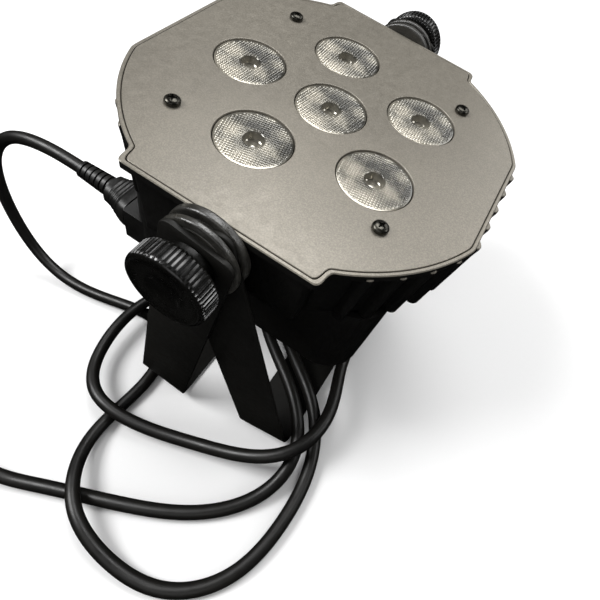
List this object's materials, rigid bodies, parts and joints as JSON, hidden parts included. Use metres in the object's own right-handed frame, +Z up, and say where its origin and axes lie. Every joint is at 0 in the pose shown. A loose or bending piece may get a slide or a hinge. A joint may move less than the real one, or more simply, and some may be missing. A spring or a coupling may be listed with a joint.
{
  "type": "par can light",
  "caption": "Small LED par can stage light with a drafted cast head, a double floor yoke on clamp knobs, rear sockets and a mains lead.",
  "frame": {"origin": "on the floor, under the middle of the light's own box, without its lead", "axes": "+Z up, +Y along the yoke pivot axis, +X towards the side that the face leans to"},
  "size_m": [0.2696, 0.3145, 0.1654],
  "materials": {
    "cast_black": "black powder coat over a die casting, satin",
    "face_grey": "warm grey speckled powder coat, satin",
    "sheet_black": "black powder coat on bent sheet, matte",
    "washer_black": "grained black friction washer",
    "knob_black": "black moulded knob, semi-gloss",
    "moulded_black": "black moulded fittings, satin",
    "lens_clear": "clear acrylic collimator with a micro-lens front",
    "emitter": "phosphor and ceramic",
    "board_green": "solder-masked circuit board",
    "sink_aluminium": "extruded aluminium, as cut",
    "window_dark": "smoked display window",
    "plated_steel": "zinc-plated steel",
    "screw_black": "black oxide pan-head screw",
    "lead_moulding": "black moulded plug and boot, soft satin",
    "lead_jacket": "black round mains lead jacket, soft satin"
  },
  "bodies": {
    "head": {"housing": "cast_black", "front_plate": "face_grey", "lens_1": "lens_clear", "led_1": "emitter", "lens_2": "lens_clear", "led_2": "emitter", "lens_3": "lens_clear", "led_3": "emitter", "lens_4": "lens_clear", "led_4": "emitter", "lens_5": "lens_clear", "led_5": "emitter", "lens_6": "lens_clear", "led_6": "emitter", "led_board": "board_green", "heat_sink": "sink_aluminium", "rear_cover": "cast_black", "control_panel": "moulded_black", "display_window": "window_dark", "control_board": "board_green", "power_board": "board_green", "mains_inlet": "moulded_black", "data_in_socket": "moulded_black", "data_out_socket": "moulded_black", "fuse_cap": "moulded_black", "safety_loop": "plated_steel", "face_screw_1": "screw_black", "face_screw_2": "screw_black", "face_screw_3": "screw_black", "face_screw_4": "screw_black", "rear_screw_1": "screw_black", "rear_screw_2": "screw_black", "rear_screw_3": "screw_black", "rear_screw_4": "screw_black", "pivot_nut_near": "plated_steel", "pivot_nut_far": "plated_steel", "inner_washer_near": "washer_black", "inner_washer_far": "washer_black", "mains_connector": "lead_moulding", "strain_relief": "lead_moulding", "mains_cord": "lead_jacket", "mains_plug": "lead_moulding"},
    "outer_yoke": {"outer_yoke": "sheet_black", "outer_washer_near": "washer_black", "outer_washer_far": "washer_black"},
    "inner_yoke": {"inner_yoke": "sheet_black"},
    "knob_near": {"knob_near": "knob_black", "stud_near": "plated_steel"},
    "knob_far": {"knob_far": "knob_black", "stud_far": "plated_steel"},
    "menu_button": {"menu_button": "moulded_black"},
    "down_button": {"down_button": "moulded_black"},
    "up_button": {"up_button": "moulded_black"},
    "enter_button": {"enter_button": "moulded_black"}
  },
  "joints": [
    {"name": "outer_yoke_tilt", "type": "hinge", "parent": "head", "child": "outer_yoke", "pos_m": [0.0003, 0, 0.13817], "axis": [0, 1, 0], "range_deg": [-27, 40]},
    {"name": "inner_yoke_tilt", "type": "hinge", "parent": "head", "child": "inner_yoke", "pos_m": [0.0003, 0, 0.13817], "axis": [0, 1, 0], "range_deg": [0, 50]},
    {"name": "knob_near_turn", "type": "hinge", "parent": "head", "child": "knob_near", "pos_m": [0.0003, 0, 0.13817], "axis": [0, 1, 0], "range_deg": [0, 540]},
    {"name": "knob_far_turn", "type": "hinge", "parent": "head", "child": "knob_far", "pos_m": [0.0003, 0, 0.13817], "axis": [0, -1, 0], "range_deg": [0, 540]},
    {"name": "menu_press", "type": "slide", "parent": "head", "child": "menu_button", "axis": [0.2045, 0, 0.9789], "range_m": [0, 0.0008], "stiffness_N_per_m": 400},
    {"name": "down_press", "type": "slide", "parent": "head", "child": "down_button", "axis": [0.2045, 0, 0.9789], "range_m": [0, 0.0008], "stiffness_N_per_m": 400},
    {"name": "up_press", "type": "slide", "parent": "head", "child": "up_button", "axis": [0.2045, 0, 0.9789], "range_m": [0, 0.0008], "stiffness_N_per_m": 400},
    {"name": "enter_press", "type": "slide", "parent": "head", "child": "enter_button", "axis": [0.2045, 0, 0.9789], "range_m": [0, 0.0008], "stiffness_N_per_m": 400}
  ]
}
